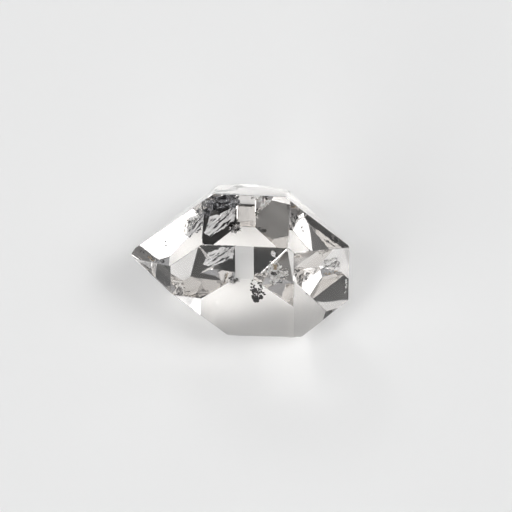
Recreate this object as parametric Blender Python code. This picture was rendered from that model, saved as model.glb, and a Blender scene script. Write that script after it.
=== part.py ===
# Herkimer diamond: one clear, doubly terminated quartz crystal, lying on a prism face.
# Metres, +Z up, +X along the crystal's long axis. The origin is the middle of the base.
import math

import bmesh
import bpy
from mathutils import Vector

# Quartz fixes every angle: six prism faces stand 60 degrees apart around the long axis,
# and each end face leans at the same angle to that axis.
SIDES = 6
TURN_PER_SIDE = math.radians(360.0 / SIDES)
END_FACE_TO_AXIS = math.radians(51.79)  # between an end face's normal and the long axis

# Growth fixes only how far each face lies from the crystal's middle, in millimetres.
# Each line is one side, going round from the top face towards the front:
# the side's name, its prism face, its left end face and its right end face.
FACE_DISTANCES = (
    ("top", 7.77, 8.47, 9.50),
    ("front upper", 4.90, 8.34, 7.66),
    ("front lower", 8.02, 6.97, 10.64),
    ("bottom", 7.77, 8.83, 10.91),
    ("back lower", 8.12, 6.83, 7.18),
    ("back upper", 8.02, 8.16, 9.36),
)
MILLIMETRE = 0.001
BLOCK_SIDE = 0.040  # the uncut block that all faces are cut from
WELD = 0.000001

QUARTZ_COLOUR = (0.93, 0.94, 0.94, 1.0)
QUARTZ_ROUGHNESS = 0.02
QUARTZ_IOR = 1.544


def clear_scene():
    for old in list(bpy.data.objects):
        bpy.data.objects.remove(old, do_unlink=True)


def side_direction(index):
    """The outward direction of a side, square to the long axis."""
    turn = -TURN_PER_SIDE * index
    return Vector((0.0, math.sin(turn), math.cos(turn)))


def face_planes():
    """The outward normal and the distance, in metres, of every crystal face."""
    planes = []
    for index, (_, prism, left, right) in enumerate(FACE_DISTANCES):
        outward = side_direction(index)
        planes.append((outward, prism * MILLIMETRE))
        for sign, distance in ((-1.0, left), (1.0, right)):
            along = Vector((sign * math.cos(END_FACE_TO_AXIS), 0.0, 0.0))
            normal = along + outward * math.sin(END_FACE_TO_AXIS)
            planes.append((normal, distance * MILLIMETRE))
    return planes


def cut_face(mesh, normal, distance):
    """Takes away what stands outside one crystal face, and closes the cut."""
    cut = bmesh.ops.bisect_plane(
        mesh,
        geom=mesh.verts[:] + mesh.edges[:] + mesh.faces[:],
        dist=WELD,
        plane_co=normal * distance,
        plane_no=normal,
        clear_outer=True,
    )
    rim = [item for item in cut["geom_cut"] if isinstance(item, bmesh.types.BMEdge)]
    if rim:
        bmesh.ops.edgeloop_fill(mesh, edges=rim)


def stand_on_base(mesh):
    """Moves the solid so that the middle of its box stands over the origin, on Z = 0."""
    corners = [vertex.co for vertex in mesh.verts]
    low = Vector([min(corner[axis] for corner in corners) for axis in range(3)])
    high = Vector([max(corner[axis] for corner in corners) for axis in range(3)])
    middle = (low + high) / 2.0
    bmesh.ops.translate(mesh, verts=mesh.verts[:], vec=(-middle.x, -middle.y, -low.z))


def quartz_material():
    """Clear rock crystal with smooth natural faces."""
    material = bpy.data.materials.new("quartz")
    material.use_nodes = True
    shader = material.node_tree.nodes["Principled BSDF"]
    shader.inputs["Base Color"].default_value = QUARTZ_COLOUR
    shader.inputs["Metallic"].default_value = 0.0
    shader.inputs["Roughness"].default_value = QUARTZ_ROUGHNESS
    shader.inputs["IOR"].default_value = QUARTZ_IOR
    shader.inputs["Transmission Weight"].default_value = 1.0
    return material


def make_crystal():
    mesh = bmesh.new()
    bmesh.ops.create_cube(mesh, size=BLOCK_SIDE)
    for normal, distance in face_planes():
        cut_face(mesh, normal, distance)
    bmesh.ops.remove_doubles(mesh, verts=mesh.verts[:], dist=WELD)
    stand_on_base(mesh)
    bmesh.ops.recalc_face_normals(mesh, faces=mesh.faces[:])

    data = bpy.data.meshes.new("crystal")
    mesh.to_mesh(data)
    mesh.free()
    data.materials.append(quartz_material())
    crystal = bpy.data.objects.new("crystal", data)
    bpy.context.scene.collection.objects.link(crystal)
    return crystal


clear_scene()
make_crystal()
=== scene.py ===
import math
import random

import bmesh
import bpy
from mathutils import Matrix, Vector, noise


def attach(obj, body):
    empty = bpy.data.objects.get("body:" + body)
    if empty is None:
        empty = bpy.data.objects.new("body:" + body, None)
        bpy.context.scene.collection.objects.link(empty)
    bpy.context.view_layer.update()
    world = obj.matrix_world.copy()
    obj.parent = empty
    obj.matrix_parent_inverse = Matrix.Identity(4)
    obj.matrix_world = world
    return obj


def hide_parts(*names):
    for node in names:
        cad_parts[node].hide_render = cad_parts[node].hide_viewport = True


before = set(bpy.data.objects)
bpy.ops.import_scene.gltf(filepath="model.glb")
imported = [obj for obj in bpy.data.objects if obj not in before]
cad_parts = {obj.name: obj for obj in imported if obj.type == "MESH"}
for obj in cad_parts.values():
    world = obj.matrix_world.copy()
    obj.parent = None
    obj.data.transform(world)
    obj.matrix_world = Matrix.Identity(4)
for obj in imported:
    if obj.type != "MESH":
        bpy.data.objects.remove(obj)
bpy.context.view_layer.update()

millimetre = 0.001
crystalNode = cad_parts["crystal"]


def hexColour(code, alpha=1.0):
    # an sRGB hex colour as the linear values that shaders want
    parts = [int(code[i:i + 2], 16) / 255.0 for i in (1, 3, 5)]
    linear = [p / 12.92 if p <= 0.04045 else ((p + 0.055) / 1.055) ** 2.4 for p in parts]
    return (*linear, alpha)


def addNode(tree, kind, settings=None, inputs=None, links=None):
    # settings go on the node, inputs on its sockets, and links join earlier sockets to its inputs
    node = tree.nodes.new(kind)
    for name, value in (settings or {}).items():
        setattr(node, name, value)
    for name, value in (inputs or {}).items():
        node.inputs[name].default_value = value
    for name, socket in (links or {}).items():
        tree.links.new(socket, node.inputs[name])
    return node


def addRamp(tree, factor, stops, colours):
    # a colour ramp of two colours
    ramp = addNode(tree, "ShaderNodeValToRGB", links={"Fac": factor})
    for element, stop, code in zip(ramp.color_ramp.elements, stops, colours):
        element.position = stop
        element.color = hexColour(code)
    return ramp.outputs["Color"]


def newMaterial(name):
    material = bpy.data.materials.new(name)
    material.use_nodes = True
    return material, material.node_tree, material.node_tree.nodes["Principled BSDF"]


def linkObject(name, mesh):
    obj = bpy.data.objects.new(name, mesh)
    bpy.context.scene.collection.objects.link(obj)
    return obj


# The camera looks down on the crystal, as steeply as the photograph does
cameraView = {
    "azimuth": 8.10,  # degrees round from the front
    "elevation": 68.62,
    "roll": -5.28,
    "distance": 338.5 * millimetre,
    "target": Vector((1.69, -0.22, 7.95)) * millimetre,
    "lens": 216.3,
    "clipStart": 10.0 * millimetre,
}


def makeCamera(view):
    a, e = math.radians(view["azimuth"]), math.radians(view["elevation"])
    back = Vector((math.sin(a) * math.cos(e), -math.cos(a) * math.cos(e), math.sin(e)))
    data = bpy.data.cameras.new("camera")
    data.lens = view["lens"]
    data.clip_start = view["clipStart"]
    camera = linkObject("camera", data)
    roll = Matrix.Rotation(math.radians(view["roll"]), 3, "Z")
    turn = (-back).to_track_quat("-Z", "Y").to_matrix() @ roll
    place = view["target"] + back * view["distance"]
    camera.matrix_world = Matrix.LocRotScale(place, turn.to_quaternion(), None)
    bpy.context.scene.camera = camera


makeCamera(cameraView)
print("camera set")


# Studio: a pale floor, and a dim room with one large softbox overhead and smaller ones round it
studio = {
    "floorColour": "#f7f7f6",
    "floorRoughness": 0.9,
    "floorShine": 0.1,
    "floorReach": 3.0,
    "floorGap": 0.02 * millimetre,  # keeps the resting face clear of the floor
    "horizon": "#cccccc",
    "walls": "#9fa0a3",
    "wallsFrom": 0.09,  # the sine of the elevation where the pale horizon has given way to the walls
}

# Each softbox and each wall patch: its name, the azimuth round from +X and the elevation of its middle,
# the angles from there at which it is whole and gone, and its brightness. The patches are darker and
# paler parts of the walls, and the crystal shows them as its grey faces.
softboxes = [
    ("left fill", 218.0, 28.0, 17.0, 32.0, 1.5),
    ("overhead", 275.0, 71.0, 10.5, 14.0, 2.6),
    ("left", 207.5, 62.0, 6.5, 13.0, 4.4),
    ("right", 351.5, 58.0, 10.5, 15.0, 5.2),
    ("right behind", 14.0, 55.0, 8.0, 11.5, 4.2),
    ("back", 115.0, 35.5, 4.5, 7.5, 5.5),
    ("front low", 245.0, 12.0, 5.0, 9.0, 3.8),
]
patches = [
    ("right lower", 358.5, 46.0, 6.5, 9.0, 1.9),
    ("back right middle", 52.0, 36.0, 6.0, 9.0, 0.30),
    ("back high", 94.0, 68.0, 10.0, 13.0, 0.01),
    ("back right high", 73.0, 76.0, 9.0, 12.0, 0.05),
    ("front right high", 311.0, 46.0, 11.0, 15.0, 0.05),
    ("back right", 35.0, 49.0, 7.0, 9.5, 0.07),
    ("back left", 167.0, 48.0, 11.0, 15.0, 0.13),
    ("back middle", 84.0, 35.0, 7.0, 10.0, 0.75),
    ("right behind low", 37.0, 16.0, 9.0, 13.0, 0.17),
    ("front", 262.0, 22.0, 9.0, 13.0, 0.01),
    ("front right", 287.0, 20.0, 11.0, 15.0, 0.01),
    ("back low", 112.0, 12.0, 10.0, 15.0, 0.03),
    ("back left middle", 142.0, 45.0, 6.0, 9.0, 0.10),
    ("right low", 327.0, 36.0, 8.0, 12.0, 0.01),
    ("left low", 160.0, 24.0, 9.0, 13.0, 0.05),
]


def makeFloor(settings):
    reach = settings["floorReach"]
    mesh = bpy.data.meshes.new("floor")
    corners = [(-reach, -reach), (reach, -reach), (reach, reach), (-reach, reach)]
    mesh.from_pydata([(x, y, -settings["floorGap"]) for x, y in corners], [], [(0, 1, 2, 3)])
    floor = linkObject("floor", mesh)
    # a board under matt white paint, with hardly any shine
    material, _, shader = newMaterial("paintedBoard")
    shader.inputs["Base Color"].default_value = hexColour(settings["floorColour"])
    shader.inputs["Roughness"].default_value = settings["floorRoughness"]
    shader.inputs["Specular IOR Level"].default_value = settings["floorShine"]
    mesh.materials.append(material)


def skyDirection(azimuth, elevation):
    a, e = math.radians(azimuth), math.radians(elevation)
    return Vector((math.cos(a) * math.cos(e), math.sin(a) * math.cos(e), math.sin(e)))


def makeRoom(settings, panels):
    world = bpy.data.worlds.new("room")
    bpy.context.scene.world = world
    world.use_nodes = True
    tree = world.node_tree
    where = addNode(tree, "ShaderNodeTexCoord").outputs["Generated"]
    height = addNode(tree, "ShaderNodeSeparateXYZ", links={"Vector": where}).outputs["Z"]
    wallsFrom = settings["wallsFrom"]
    light = addRamp(tree, height, (wallsFrom / 2.0, wallsFrom), (settings["horizon"], settings["walls"]))
    for _, azimuth, elevation, whole, gone, brightness in panels:
        towards = addNode(tree, "ShaderNodeVectorMath", {"operation": "DOT_PRODUCT"},
                          {1: skyDirection(azimuth, elevation)}, {0: where})
        limits = {"From Min": math.cos(math.radians(gone)), "From Max": math.cos(math.radians(whole))}
        edge = addNode(tree, "ShaderNodeMapRange", {"interpolation_type": "SMOOTHSTEP"}, limits,
                       {"Value": towards.outputs["Value"]})
        glow = {"Color2": (brightness, brightness, brightness, 1.0)}
        panel = addNode(tree, "ShaderNodeMixRGB", None, glow,
                        {"Fac": edge.outputs["Result"], "Color1": light})
        light = panel.outputs["Color"]
    tree.links.new(light, tree.nodes["Background"].inputs["Color"])


makeFloor(studio)
makeRoom(studio, softboxes + patches)
print("studio set")


# The crystal: rock crystal with natural growth faces
crystalSettings = {
    "weld": 0.001 * millimetre,
    "flatWithin": 1.0,  # degrees within which triangles belong to one face
    "edgeWear": 0.035 * millimetre,  # width that handling has worn off each edge
    "ior": 1.544,  # quartz
    "colour": "#fefefe",
    "haze": "#f7f5f3",  # a breath of smoky quartz, seen only along the longest light paths
    "hazeDensity": 50.0,
    "waveSize": 4.5 * millimetre,  # broad unevenness of a growth face
    "waveDepth": 0.010 * millimetre,
    "waveSeed": 3.1,
    "striationGap": 0.35 * millimetre,  # fine growth lines across the prism faces
    "striationStretch": 0.04,  # how much slower they change along their own length
    "striationDepth": 0.0012 * millimetre,
    "striationSeed": 8.4,
    "prismWithin": 0.3,  # prism faces point less than this far along the crystal, end faces more
}


def patternOnObject(tree, size, seed=0.0, stretch=(1.0, 1.0, 1.0), detail=2.0, turn=0.0):
    # a noise whose features are as big as size, in metres
    where = addNode(tree, "ShaderNodeTexCoord").outputs["Object"]
    turned = addNode(tree, "ShaderNodeVectorRotate", None, {"Angle": turn}, {"Vector": where})
    placed = addNode(tree, "ShaderNodeMapping", None,
                     {"Scale": tuple(s / size for s in stretch), "Location": (seed, seed * 0.7, -seed)},
                     {"Vector": turned.outputs["Vector"]})
    pattern = addNode(tree, "ShaderNodeTexNoise", None, {"Scale": 1.0, "Detail": detail},
                      {"Vector": placed.outputs["Vector"]})
    return pattern.outputs["Fac"]


def quartzMaterial(settings):
    # rock crystal: clear quartz with smooth growth faces, so nearly all light goes through or is mirrored
    material, tree, shader = newMaterial("rockCrystal")
    shader.inputs["Base Color"].default_value = hexColour(settings["colour"])
    shader.inputs["Roughness"].default_value = 0.0
    shader.inputs["IOR"].default_value = settings["ior"]
    shader.inputs["Transmission Weight"].default_value = 1.0
    haze = addNode(tree, "ShaderNodeVolumeAbsorption", None,
                   {"Color": hexColour(settings["haze"]), "Density": settings["hazeDensity"]})
    tree.links.new(haze.outputs["Volume"], tree.nodes["Material Output"].inputs["Volume"])
    wave = patternOnObject(tree, settings["waveSize"], settings["waveSeed"], detail=1.0)
    stretch = (1.0, settings["striationStretch"], settings["striationStretch"])
    lines = patternOnObject(tree, settings["striationGap"], settings["striationSeed"], stretch, 1.0)
    # the growth lines are only on the prism faces, which run along the crystal
    normal = addNode(tree, "ShaderNodeTexCoord").outputs["Normal"]
    facing = addNode(tree, "ShaderNodeSeparateXYZ", links={"Vector": normal})
    along = addNode(tree, "ShaderNodeMath", {"operation": "ABSOLUTE"}, links={0: facing.outputs["X"]})
    onPrism = addNode(tree, "ShaderNodeMath", {"operation": "LESS_THAN"}, {1: settings["prismWithin"]},
                      {0: along.outputs["Value"]})
    height = addNode(tree, "ShaderNodeMath", {"operation": "MULTIPLY"}, None,
                     {0: lines, 1: onPrism.outputs["Value"]})
    growth = addNode(tree, "ShaderNodeBump", None,
                     {"Strength": 1.0, "Distance": settings["striationDepth"]},
                     {"Height": height.outputs["Value"]})
    uneven = addNode(tree, "ShaderNodeBump", None, {"Strength": 1.0, "Distance": settings["waveDepth"]},
                     {"Height": wave, "Normal": growth.outputs["Normal"]})
    tree.links.new(uneven.outputs["Normal"], shader.inputs["Normal"])
    return material


def makeCrystal(settings):
    work = bmesh.new()
    work.from_mesh(crystalNode.data)
    bmesh.ops.remove_doubles(work, verts=work.verts[:], dist=settings["weld"])
    bmesh.ops.dissolve_limit(work, angle_limit=math.radians(settings["flatWithin"]), verts=work.verts[:],
                             edges=work.edges[:])
    bmesh.ops.bevel(work, geom=work.edges[:], offset=settings["edgeWear"], segments=1, affect="EDGES")
    mesh = bpy.data.meshes.new("quartzCrystal")
    work.to_mesh(mesh)
    work.free()
    mesh.materials.append(quartzMaterial(settings))
    crystal = linkObject("quartzCrystal", mesh)
    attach(crystal, "root")
    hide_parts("crystal")


makeCrystal(crystalSettings)
print("crystal made")


# The growth faces, by name: each gives its outward direction, and marks are laid out on it in millimetres
# from the foot of the perpendicular from the crystal's middle, along the crystal and then up the face
faceDirections = {
    "top": (0.0, 0.0, 1.0),
    "front": (0.0, -0.866, 0.5),
    "topLeft": (-0.619, 0.0, 0.786),
    "frontLeft": (-0.619, -0.680, 0.393),
    "frontRight": (0.619, -0.680, 0.393),
    "base": (0.0, 0.0, -1.0),
}
crystalMiddle = Vector((0.0, 0.0, 7.77)) * millimetre
crystalFaces = [(f.normal.copy(), f.center.copy() / millimetre) for f in crystalNode.data.polygons]


def faceFrame(name):
    # the face's origin, its direction along the crystal, its direction up, and its outward direction
    out = Vector(faceDirections[name]).normalized()
    along = (Vector((1.0, 0.0, 0.0)) - out * out.x).normalized()
    distance = max((v.co - crystalMiddle).dot(out) for v in crystalNode.data.vertices)
    return crystalMiddle + out * distance, along, out.cross(along), out


def underFace(name, depth):
    # turns a flat point on a face, in mm, into the point at that depth under it, and the way out
    origin, along, up, out = faceFrame(name)
    origin = origin / millimetre - out * depth
    return lambda u, v: (origin + along * u + up * v, out)


def depthInside(point):
    # how far in mm a point lies under the nearest face of the crystal
    return min((middle - point).dot(out) for out, middle in crystalFaces)


def neighbours(ring):
    return zip(ring, ring[1:] + ring[:1])


def insideOutline(point, outline):
    inside = False
    for (ax, ay), (bx, by) in neighbours(outline):
        if (ay > point[1]) != (by > point[1]) and point[0] < ax + (bx - ax) * (point[1] - ay) / (by - ay):
            inside = not inside
    return inside


def outlineSpan(outline):
    return [(min(p[i] for p in outline), max(p[i] for p in outline)) for i in (0, 1)]


# Fractures and chips: thin crinkled flakes, laid out as a grid whose cells follow a ragged outline.
# Lengths are in millimetres.
flakeSettings = {
    "step": 0.07,
    "thickness": 0.012,
    "ragged": 0.16,  # how far the outline wanders
    "raggedSize": 0.35,
    "raggedReach": 1.6,
    "holeSize": 0.45,
    "holeNoise": (0.8, 2.1, 3),  # roughness, lacunarity and octaves
    "reliefNoise": (0.75, 2.2, 5),
    "reliefShift": 1.9,
    "grain": (1.1, 0.32),  # size of the relief along its ridges and across them
    "jitter": 0.5,  # of a step
    "jitterPitch": (0.37, 0.41),
    "seedShift": (7.31, 3.17, 5.03),
    "cover": 0.12,  # quartz over the middle of every cell
    "closest": 0.06,  # quartz that the relief leaves over it
    "closingPasses": 6,
    "seed": 2,
}
noise.seed_set(flakeSettings["seed"])


def joinCells(cells, passes):
    # cells that touch only at a corner are joined, so that the flake closes
    for _ in range(passes):
        touching = set()
        for i, j in cells:
            for side in (1, -1):
                between = {(i + side, j), (i, j + 1)}
                if (i + side, j + 1) in cells and not between & cells:
                    touching.add((i + side, j))
        cells |= touching
    return cells


def layFlake(work, place, outline, relief, ridge, holes, seed, grain=flakeSettings["grain"], fray=1.0):
    # place turns a flat point in mm into the flake's own surface point, and its outward direction
    step, ragged = flakeSettings["step"], flakeSettings["ragged"] * fray
    (u0, u1), (v0, v1) = outlineSpan(outline)
    columns = int((u1 - u0 + 2 * ragged) / step) + 2
    rows = int((v1 - v0 + 2 * ragged) / step) + 2
    shift = Vector([seed * s for s in flakeSettings["seedShift"]])
    jitterU, jitterV = flakeSettings["jitterPitch"]
    corners = {}

    def isCell(i, j):
        p = Vector((u0 - ragged + (i + 0.5) * step, v0 - ragged + (j + 0.5) * step, 0.0))
        wander = noise.noise_vector(p / flakeSettings["raggedSize"] + shift)
        wander = wander * ragged * flakeSettings["raggedReach"]
        gap = noise.fractal(p / flakeSettings["holeSize"] + shift * 2.0, *flakeSettings["holeNoise"])
        covered = depthInside(place(p.x, p.y)[0]) > flakeSettings["cover"]
        return covered and gap > holes and insideOutline((p.x + wander.x, p.y + wander.y), outline)

    def corner(i, j, side):
        if (i, j, side) not in corners:
            u, v = u0 - ragged + i * step, v0 - ragged + j * step
            a = u * math.cos(ridge) + v * math.sin(ridge)
            b = v * math.cos(ridge) - u * math.sin(ridge)
            spot = Vector((a / grain[0], b / grain[1], seed * flakeSettings["reliefShift"]))
            rough = noise.fractal(spot, *flakeSettings["reliefNoise"])
            jitter = noise.noise_vector(Vector((i * jitterU, j * jitterV, seed)))
            jitter = jitter * step * flakeSettings["jitter"]
            point, out = place(u + jitter.x, v + jitter.y)
            # the relief stops short of the crystal's faces
            room = max(depthInside(point) - flakeSettings["closest"], 0.0)
            lift = max(-room, min(room, rough * relief)) + side * flakeSettings["thickness"] / 2.0
            corners[(i, j, side)] = work.verts.new((point + out * lift) * millimetre)
        return corners[(i, j, side)]

    cells = {(i, j) for i in range(columns) for j in range(rows) if isCell(i, j)}
    cells = joinCells(cells, flakeSettings["closingPasses"])
    for i, j in cells:
        ring = [(i, j), (i + 1, j), (i + 1, j + 1), (i, j + 1)]
        work.faces.new([corner(*q, 1) for q in ring])
        work.faces.new([corner(*q, -1) for q in reversed(ring)])
        for (di, dj), (p, q) in zip(((0, -1), (1, 0), (0, 1), (-1, 0)), neighbours(ring)):
            if (i + di, j + dj) not in cells:
                work.faces.new([corner(*q, 1), corner(*p, 1), corner(*p, -1), corner(*q, -1)])


def acrossCorners(corners, rounding):
    # a surface through the given corners in mm, and their outline on it
    points = [Vector(c) for c in corners]
    middle = sum(points, Vector()) / len(points)
    out = sum(((a - middle).cross(b - middle) for a, b in neighbours(points)), Vector())
    out = (out if out.z > 0.0 else -out).normalized()
    along = (Vector((1.0, 0.0, 0.0)) - out * out.x).normalized()
    up = out.cross(along)
    flat = [((p - middle).dot(along), (p - middle).dot(up)) for p in points]
    lifts = [(p - middle).dot(out) for p in points]

    def place(u, v):
        weights = [1.0 / ((u - a) ** 2 + (v - b) ** 2 + rounding) for a, b in flat]
        lift = sum(w * h for w, h in zip(weights, lifts)) / sum(weights)
        return middle + along * u + up * v + out * lift, out

    return place, flat


def finishPiece(name, work, material):
    bmesh.ops.recalc_face_normals(work, faces=work.faces[:])
    mesh = bpy.data.meshes.new(name)
    work.to_mesh(mesh)
    work.free()
    mesh.materials.append(material)
    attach(linkObject(name, mesh), "root")


# The fine crinkles that every fracture has, and how its brightness varies
crinkle = {
    "size": 0.12 * millimetre,
    "depth": 0.02 * millimetre,
    "seed": 1.5,
    "detail": 3.0,
    "mottleSeed": 5.5,
    "mottleDetail": 4.0,
}


def fractureMaterial(look):
    # an open fracture mirrors the light from its air gap, brighter and duller from place to place
    material, tree, shader = newMaterial(look["material"])
    turn, stretch = math.radians(look.get("turn", 0.0)), look.get("stretch", (1.0, 1.0, 1.0))
    mottle = patternOnObject(tree, look["mottle"], crinkle["mottleSeed"], stretch, crinkle["mottleDetail"],
                             turn)
    colour = addRamp(tree, mottle, look.get("stops", (0.42, 0.56)), (look["dark"], look["pale"]))
    fine = patternOnObject(tree, crinkle["size"], crinkle["seed"], detail=crinkle["detail"])
    bump = addNode(tree, "ShaderNodeBump", None, {"Strength": 1.0, "Distance": crinkle["depth"]},
                   {"Height": fine})
    tree.links.new(colour, shader.inputs["Base Color"])
    tree.links.new(bump.outputs["Normal"], shader.inputs["Normal"])
    shader.inputs["Metallic"].default_value = look["metallic"]
    shader.inputs["Roughness"].default_value = look["roughness"]
    return material


# The healed fracture across the middle, which the camera sees through two faces
openFracture = {
    "corners": [
        (-4.09, 1.54, 6.46), (-3.38, 1.04, 6.45), (-2.07, 2.15, 6.02), (-0.92, 3.29, 5.41),
        (-0.72, 5.06, 5.51), (-2.17, 3.84, 7.06), (-3.56, 3.48, 6.14),
    ],
    "rounding": 0.02,
    "relief": 0.17,
    "ridge": 45.0,
    "holes": -2.0,
    "seed": 1,
    "grain": (3.4, 0.36),
    "fray": 0.3,
    "look": {
        "material": "openFracture",  # an air gap, silvery with dark streaks
        "pale": "#ffffff",
        "dark": "#38383b",
        "mottle": 0.30 * millimetre,
        "metallic": 0.72,
        "roughness": 0.2,
        "turn": -45.0,
        "stretch": (0.10, 1.0, 1.0),
        "stops": (0.40, 0.47),
    },
}

# Other fractures and chips, a dictionary for each piece. Each flake gives its name, its face, its depth
# under the face, its outline, its relief, the direction of its ridges in degrees, and how far the noise has
# to fall to leave a hole.
dullFractures = {
    "firstSeed": 10,
    "flakes": [
        ("veil above", "top", 1.3,
         [(-2.79, 4.01), (-0.26, 4.11), (0.01, 3.18), (-0.59, 2.51), (-1.29, 2.71), (-2.09, 2.11),
          (-2.9, 2.41)],
         0.35, 15.0, -0.6),
        ("veil above left", "top", 1.0,
         [(-4.02, 3.18), (-2.75, 3.82), (-2.24, 2.66), (-2.96, 1.76), (-3.72, 1.46)],
         0.35, 60.0, -0.5),
        ("left tip chips", "topLeft", 0.3,
         [(-5.0, -2.1), (-4.3, -2.45), (-3.6, -2.6), (-3.6, -3.1), (-4.8, -2.6)],
         0.1, -30.0, -0.1),
    ],
    "look": {
        "material": "dullFracture",  # partly healed, so it mirrors less
        "pale": "#bcbcbe",
        "dark": "#3c3c40",
        "mottle": 0.5 * millimetre,
        "metallic": 0.85,
        "roughness": 0.22,
    },
}
healedFractures = {
    "firstSeed": 2,
    "flakes": [
        ("base corner chip", "base", 0.22,
         [(-1.5, -3.3), (-1.5, -3.7), (-0.9, -3.95), (-0.3, -3.9), (-0.2, -3.4), (-0.9, -3.2)],
         0.1, 30.0, -0.2),
        ("left end chips", "topLeft", 0.3,
         [(-0.57, -0.2), (-0.53, 0.96), (0.54, 2.02), (1.48, 2.86), (1.68, 2.12), (1.07, 0.85),
          (0.26, 0.21)],
         0.25, 60.0, -0.1),
        ("left end chips above", "topLeft", 0.3,
         [(1.48, 2.86), (2.43, 3.47), (3.01, 3.46), (2.9, 3.02), (1.95, 2.41)],
         0.2, 45.0, -0.1),
        ("right crackle", "frontRight", 0.6,
         [(5.21, 1.43), (5.73, 2.03), (6.81, 1.68), (7.6, 1.5), (7.6, 0.25), (6.71, -0.1), (5.63, 0.26)],
         0.3, 20.0, -0.1),
        ("right rough edge", "frontRight", 0.2,
         [(8.3, -1.84), (8.6, -2.14), (8.6, -3.69), (8.4, -4.6), (8.2, -4.3), (8.35, -3.35)],
         0.06, 80.0, -0.05),
    ],
    "look": {
        "material": "healedFracture",  # small mirror-like chips
        "pale": "#f4f4f2",
        "dark": "#66666a",
        "mottle": 0.4 * millimetre,
        "metallic": 0.85,
        "roughness": 0.16,
    },
}
crackledFractures = {
    "firstSeed": 20,
    "flakes": [
        ("cluster", "front", 1.2,
         [(3.2, 2.44), (3.74, 3.17), (4.39, 2.92), (5.04, 2.26), (5.48, 2.28), (5.48, 1.3), (4.72, 1.13),
          (4.29, 0.68), (3.63, 1.07)],
         0.45, 30.0, -0.22),
        ("cluster ring", "front", 1.1, [(3.5, 1.07), (4.4, 1.3), (4.8, 0.57), (4.07, 0.0), (3.5, 0.4)],
         0.35, 30.0, -0.15),
        ("cluster haze", "front", 1.4, [(2.54, 1.53), (3.2, 2.26), (3.74, 3.12), (3.96, 2.02), (3.3, 1.29)],
         0.15, 40.0, 0.05),
        ("oval", "front", 0.6, [(3.55, 4.4), (3.62, 4.9), (3.9, 5.0), (4.15, 4.7), (4.15, 4.2), (3.85, 4.0)],
         0.05, 0.0, -1.0),
        ("top blob", "top", 0.4, [(1.27, 3.89), (1.8, 4.0), (2.46, 3.9), (2.38, 3.41), (1.85, 3.27)],
         0.15, 20.0, -0.5),
        ("top haze", "top", 0.6,
         [(2.07, 3.15), (2.61, 3.18), (3.44, 3.8), (3.56, 3.57), (2.96, 2.72), (2.44, 2.35)],
         0.2, 30.0, 0.0),
    ],
    "look": {
        "material": "crackledQuartz",  # crushed quartz, white all through
        "pale": "#ffffff",
        "dark": "#c4c1bd",
        "mottle": 0.2 * millimetre,
        "metallic": 0.05,
        "roughness": 0.25,
    },
}


def makeOpenFracture(settings):
    work = bmesh.new()
    place, outline = acrossCorners(settings["corners"], settings["rounding"])
    layFlake(work, place, outline, settings["relief"], math.radians(settings["ridge"]), settings["holes"],
             settings["seed"], settings["grain"], settings["fray"])
    finishPiece("openFracture", work, fractureMaterial(settings["look"]))


def makeFlakes(name, settings):
    work = bmesh.new()
    for seed, flake in enumerate(settings["flakes"], settings["firstSeed"]):
        _, face, depth, outline, relief, ridge, holes = flake
        layFlake(work, underFace(face, depth), outline, relief, math.radians(ridge), holes, seed)
    finishPiece(name, work, fractureMaterial(settings["look"]))


makeOpenFracture(openFracture)
makeFlakes("dullFractures", dullFractures)
makeFlakes("healedFractures", healedFractures)
makeFlakes("crackledFractures", crackledFractures)
print("fractures made")


# Specks: carbon and pale grains, scattered over thin patches under the faces. Each patch gives its face,
# its depth under the face and its outline, in millimetres, and about how many grains it holds.
carbonSpecks = {
    "patches": [
        ("front", 0.35,
         [(1.48, -0.52), (2.03, -0.35), (2.68, -0.39), (2.68, -0.88), (2.14, -0.98), (1.48, -1.01)], 28),
        ("front", 0.35, [(1.6, -1.0), (2.4, -1.0), (2.3, -1.4), (1.7, -1.4)], 7),
        ("front", 0.35, [(1.54, -1.36), (2.03, -1.34), (2.46, -1.6), (2.3, -2.17), (1.81, -2.2)], 44),
        ("front", 0.35, [(2.41, -1.25), (2.74, -1.3), (2.68, -1.8), (2.41, -1.74)], 10),
        ("front", 0.35,
         [(1.49, 0.89), (2.25, 1.0), (3.01, 0.12), (3.06, -1.28), (2.46, -2.16), (1.48, -2.07)], 16),
        ("base", 0.3, [(-1.3, -3.4), (-1.2, -3.8), (-0.5, -3.85), (-0.4, -3.4)], 7),
        ("top", 0.3, [(2.47, 3.92), (3.33, 3.9), (3.25, 3.48), (2.6, 3.51)], 12),
        ("top", 0.3, [(1.2, 3.9), (1.4, 3.9), (1.4, 3.6), (1.2, 3.6)], 2),
        ("topLeft", 0.2,
         [(-8.2, -0.8), (-7.7, -0.65), (-6.4, -1.3), (-5.4, -1.9), (-7.3, -1.5), (-8.1, -1.1)], 12),
        ("topLeft", 0.2, [(-5.0, -2.1), (-4.3, -2.45), (-3.6, -2.6), (-3.6, -3.1), (-4.8, -2.6)], 16),
        ("frontRight", 0.25, [(2.74, -0.72), (3.56, -1.8), (3.43, -2.03), (2.75, -1.07)], 8),
        ("front", 0.9, [(3.75, 1.45), (4.2, 1.45), (4.2, 1.9), (3.75, 1.9)], 5),
    ],
    "grain": 0.34,
    "spread": 0.80,
    "seed": 40,
    "colours": ("#060505", "#1a1715"),
    "roughness": 0.6,
}
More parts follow.
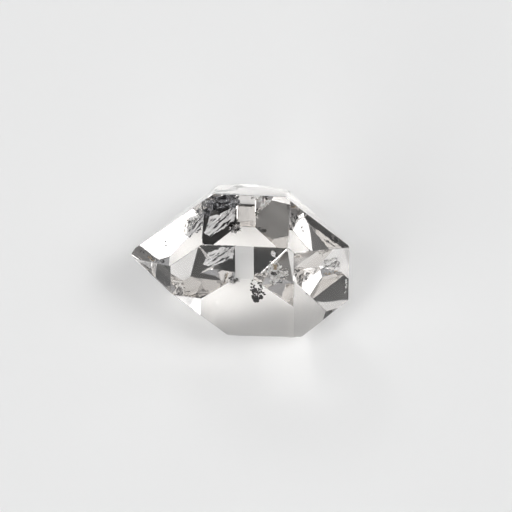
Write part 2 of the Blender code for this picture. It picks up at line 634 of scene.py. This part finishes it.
paleSpecks = {
    "patches": [
        ("frontLeft", 0.1, [(-0.98, -0.18), (-0.24, -0.34), (1.3, -1.6), (0.9, -1.9), (-0.41, -1.28)], 30),
        ("front", 0.1, [(-5.93, -0.52), (-5.5, -0.92), (-4.86, -2.02), (-5.41, -2.05)], 14),
        ("top", 0.12, [(1.71, 1.98), (2.14, 1.99), (2.17, 1.53), (1.74, 1.51)], 3),
        ("topLeft", 0.2, [(-0.57, -0.2), (-0.53, 0.96), (1.48, 2.86), (1.68, 2.12), (1.07, 0.85)], 20),
        ("frontRight", 0.2, [(5.3, 1.4), (5.8, 1.9), (7.4, 1.5), (7.4, -1.2), (6.3, 0.1)], 26),
        ("front", 0.8, [(3.2, 2.4), (4.3, 2.9), (5.4, 2.2), (5.4, 0.7), (3.7, 0.3)], 24),
    ],
    "grain": 0.15,
    "spread": 0.8,
    "seed": 41,
    "colours": ("#f7f6f2", "#cdc9c1"),
    "roughness": 0.3,
}
ironStain = {
    "patches": [
        ("front", 1.0, [(3.92, 2.2), (4.22, 2.2), (4.25, 2.85), (3.9, 2.85)], 26),
        ("frontRight", 0.5,
         [(5.36, 0.38), (6.44, -0.26), (7.4, -0.33), (7.3, -0.5), (6.45, -0.55), (5.5, -0.03)], 46),
    ],
    "grain": 0.22,
    "spread": 0.6,
    "seed": 42,
    "colours": ("#8d7657", "#b9a88d"),
    "roughness": 0.6,
}

# How every grain is shaped and scattered
grainShape = {
    "subdivisions": 2,
    "lumpScale": 2.3,
    "lumpiness": 0.9,
    "flatness": 0.6,
    "scatter": 0.12,  # mm of depth that grains are spread over
    "fit": 0.95,  # of a grain's depth, the widest that it can be
    "mottle": 0.15 * millimetre,
    "mottleSeed": 2.0,
}


def speckTree(name):
    # points scattered in a host patch, each an uneven grain; ends in one real mesh with its material set
    tree = bpy.data.node_groups.new(name, "GeometryNodeTree")
    sockets = {}
    for label, kind, direction in (("Geometry", "NodeSocketGeometry", "INPUT"),
                                   ("Spread", "NodeSocketFloat", "INPUT"),
                                   ("Seed", "NodeSocketInt", "INPUT"),
                                   ("Material", "NodeSocketMaterial", "INPUT"),
                                   ("Geometry", "NodeSocketGeometry", "OUTPUT")):
        item = tree.interface.new_socket(label, in_out=direction, socket_type=kind)
        sockets[(label, direction)] = item.identifier
    given = addNode(tree, "NodeGroupInput").outputs
    made = addNode(tree, "NodeGroupOutput")
    points = addNode(tree, "GeometryNodeMeshToPoints", {"mode": "VERTICES"}, None,
                     {"Mesh": given["Geometry"]})
    ball = addNode(tree, "GeometryNodeMeshIcoSphere", None,
                   {"Subdivisions": grainShape["subdivisions"], "Radius": 0.5})
    lumps = addNode(tree, "ShaderNodeTexNoise", None, {"Scale": grainShape["lumpScale"], "Detail": 2.0})
    centred = addNode(tree, "ShaderNodeVectorMath", {"operation": "SUBTRACT"}, {1: (0.5, 0.5, 0.5)},
                      {0: lumps.outputs["Color"]})
    rough = addNode(tree, "ShaderNodeVectorMath", {"operation": "SCALE"},
                    {"Scale": grainShape["lumpiness"]}, {0: centred.outputs["Vector"]})
    grain = addNode(tree, "GeometryNodeSetPosition", None, None,
                    {"Geometry": ball.outputs["Mesh"], "Offset": rough.outputs["Vector"]})
    turn = addNode(tree, "FunctionNodeRandomValue", {"data_type": "FLOAT_VECTOR"},
                   {"Min": (0.0, 0.0, 0.0), "Max": (6.28, 6.28, 6.28)}, {"Seed": given["Seed"]})
    least = addNode(tree, "ShaderNodeMath", {"operation": "SUBTRACT"}, {0: 1.0}, {1: given["Spread"]})
    share = addNode(tree, "FunctionNodeRandomValue", {"data_type": "FLOAT"}, {"Max": 1.0},
                    {"Min": least.outputs["Value"], "Seed": given["Seed"]})
    widest = addNode(tree, "GeometryNodeInputNamedAttribute", {"data_type": "FLOAT"}, {"Name": "grain"})
    size = addNode(tree, "ShaderNodeMath", {"operation": "MULTIPLY"}, None,
                   {0: share.outputs["Value"], 1: widest.outputs["Attribute"]})
    height = addNode(tree, "ShaderNodeMath", {"operation": "MULTIPLY"}, {1: grainShape["flatness"]},
                     {0: size.outputs["Value"]})
    scale = addNode(tree, "ShaderNodeCombineXYZ", None, None,
                    {"X": size.outputs["Value"], "Y": size.outputs["Value"], "Z": height.outputs["Value"]})
    laid = addNode(tree, "GeometryNodeInstanceOnPoints", None, None,
                   {"Points": points.outputs["Points"], "Instance": grain.outputs["Geometry"],
                    "Rotation": turn.outputs["Value"], "Scale": scale.outputs["Vector"]})
    real = addNode(tree, "GeometryNodeRealizeInstances", None, None, {"Geometry": laid.outputs["Instances"]})
    coated = addNode(tree, "GeometryNodeSetMaterial", None, None,
                     {"Geometry": real.outputs["Geometry"], "Material": given["Material"]})
    tree.links.new(coated.outputs["Geometry"], made.inputs["Geometry"])
    return tree, sockets


def speckMaterial(name, colours, roughness):
    # dull mineral grains, a little darker and paler from place to place
    material, tree, shader = newMaterial(name)
    mottle = patternOnObject(tree, grainShape["mottle"], grainShape["mottleSeed"])
    tree.links.new(addRamp(tree, mottle, (0.4, 0.6), colours), shader.inputs["Base Color"])
    shader.inputs["Roughness"].default_value = roughness
    return material


def speckPlaces(settings):
    # the grains' points, and the widest that each can be, both in mm
    draw = random.Random(settings["seed"])
    points, sizes = [], []
    for face, depth, outline, count in settings["patches"]:
        place = underFace(face, depth)
        (u0, u1), (v0, v1) = outlineSpan(outline)
        # an outline fills about half of its span, so twice as many are tried
        for _ in range(count * 2):
            u, v = draw.uniform(u0, u1), draw.uniform(v0, v1)
            point, out = place(u, v)
            point -= out * draw.uniform(0.0, grainShape["scatter"])
            if insideOutline((u, v), outline) and depthInside(point) > 0.0:
                # a grain near a face is small enough to stay under it
                points.append(point)
                sizes.append(min(settings["grain"], depthInside(point) * grainShape["fit"]))
    return points, sizes


def makeSpecks(name, settings):
    points, sizes = speckPlaces(settings)
    host = bpy.data.meshes.new(name + "Points")
    host.from_pydata([p * millimetre for p in points], [], [])
    widest = host.attributes.new("grain", "FLOAT", "POINT")
    widest.data.foreach_set("value", [s * millimetre for s in sizes])
    holder = linkObject(name + "Points", host)
    material = speckMaterial(name, settings["colours"], settings["roughness"])
    tree, sockets = speckTree(name)
    modifier = holder.modifiers.new("specks", "NODES")
    modifier.node_group = tree
    modifier[sockets[("Spread", "INPUT")]] = settings["spread"]
    modifier[sockets[("Seed", "INPUT")]] = settings["seed"]
    modifier[sockets[("Material", "INPUT")]] = material
    graph = bpy.context.evaluated_depsgraph_get()
    mesh = bpy.data.meshes.new_from_object(holder.evaluated_get(graph))
    mesh.name = name
    bpy.data.objects.remove(holder)
    # the made mesh keeps an empty slot before its material, so its slots are set afresh
    mesh.materials.clear()
    mesh.materials.append(material)
    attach(linkObject(name, mesh), "root")


makeSpecks("carbonSpecks", carbonSpecks)
makeSpecks("paleSpecks", paleSpecks)
makeSpecks("ironStain", ironStain)
print("specks made")

scene = bpy.context.scene
scene.view_settings.view_transform = "Standard"
scene.cycles.max_bounces = 32
scene.cycles.transmission_bounces = 24
scene.cycles.glossy_bounces = 24
scene.cycles.diffuse_bounces = 4
scene.cycles.blur_glossy = 0.0  # keeps the light that the crystal throws on the floor sharp
scene.cycles.sample_clamp_indirect = 0.0
